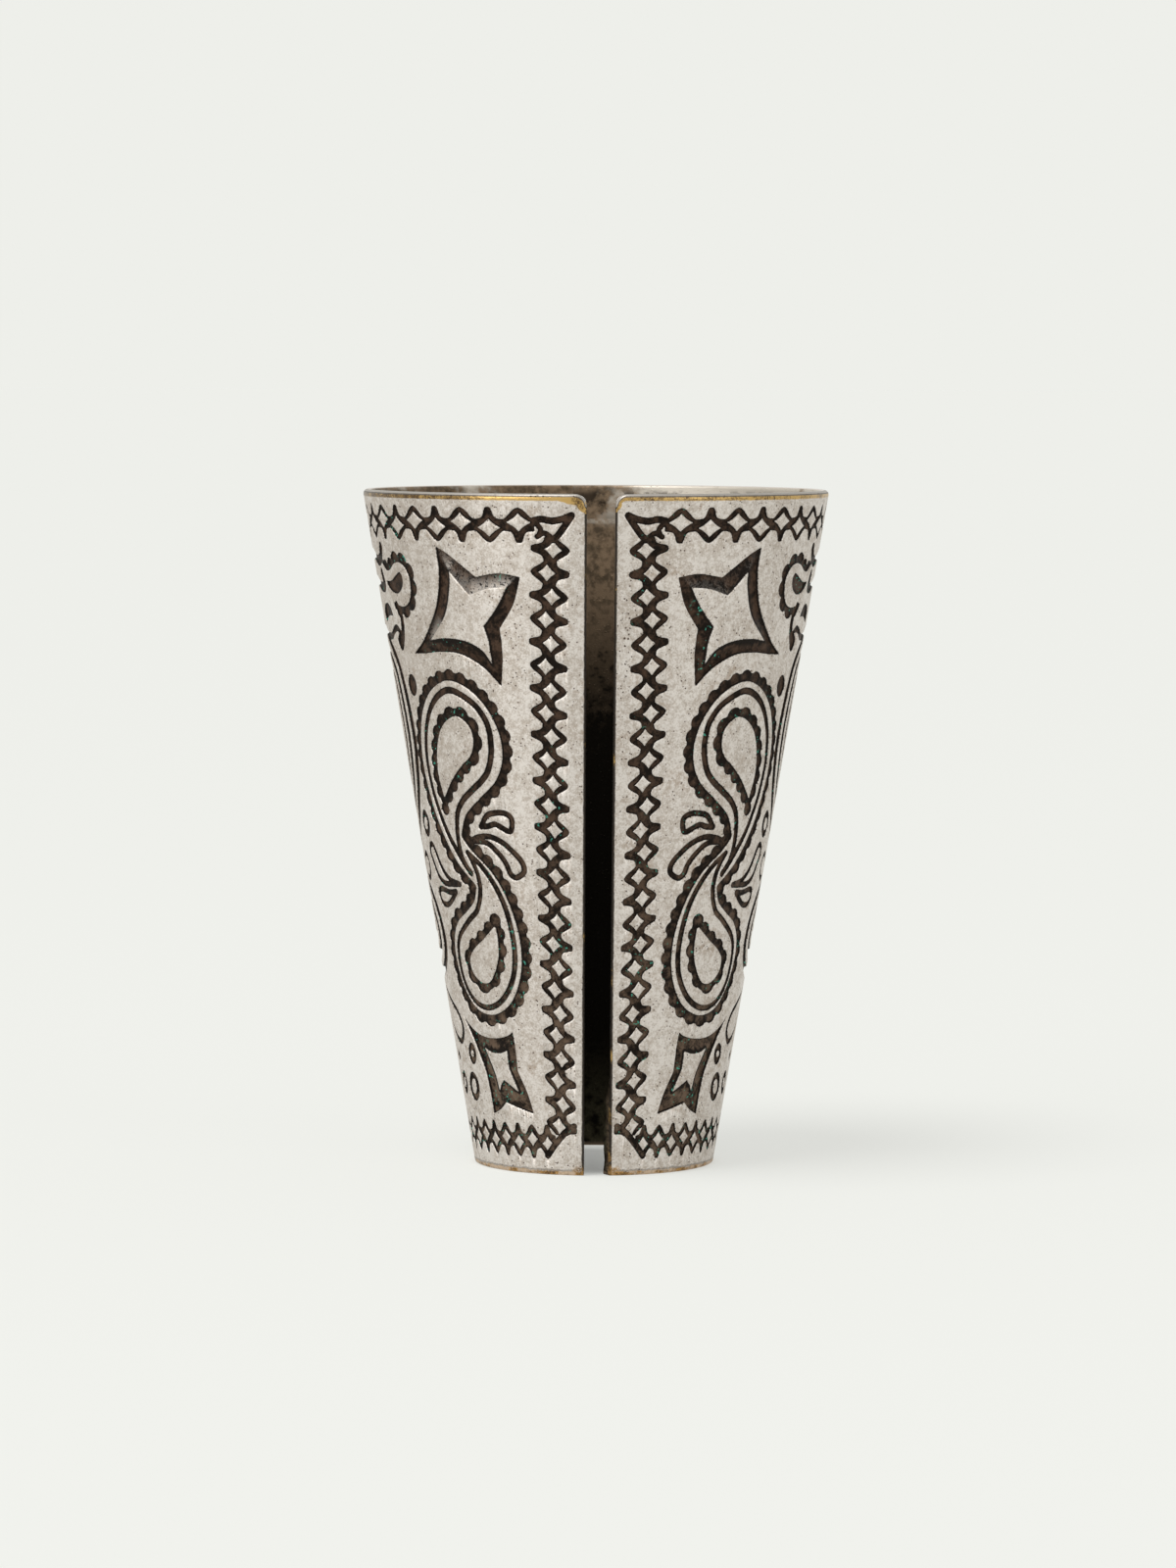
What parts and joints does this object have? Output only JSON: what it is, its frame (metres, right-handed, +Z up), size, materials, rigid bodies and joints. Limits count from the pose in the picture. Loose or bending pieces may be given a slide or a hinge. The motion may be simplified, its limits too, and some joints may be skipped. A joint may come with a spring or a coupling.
{
  "type": "split cone sleeve",
  "caption": "Open cone-shaped sleeve of springy plated brass sheet, wide end up, slit down its front and engraved all round, to slip over or hold a slim object.",
  "frame": {"origin": "on the cone's axis, at the level that the narrow end stands on", "axes": "+Z up the axis towards the wide end, -Y towards the slit, +X to the right of the slit as seen from the front"},
  "size_m": [0.0758, 0.0757, 0.11],
  "materials": {
    "antiqued_silver_plate": "silver plate on brass, engraved, darkened in the grooves and inside, worn to brass at the rim, the lips and the foot"
  },
  "bodies": {
    "back": {"back_wall": "antiqued_silver_plate"},
    "left": {"left_wall": "antiqued_silver_plate"},
    "right": {"right_wall": "antiqued_silver_plate"}
  },
  "joints": [
    {"name": "right_wall_spring", "type": "hinge", "parent": "back", "child": "right", "pos_m": [0.02424, 0.014, 0.055], "axis": [0.1436, 0.0829, 0.9862], "range_deg": [-1.5, 6], "stiffness_Nm_per_rad": 70},
    {"name": "left_wall_spring", "type": "hinge", "parent": "back", "child": "left", "pos_m": [-0.02424, 0.014, 0.055], "axis": [0.1436, -0.0829, -0.9862], "range_deg": [-1.5, 6], "stiffness_Nm_per_rad": 70}
  ]
}
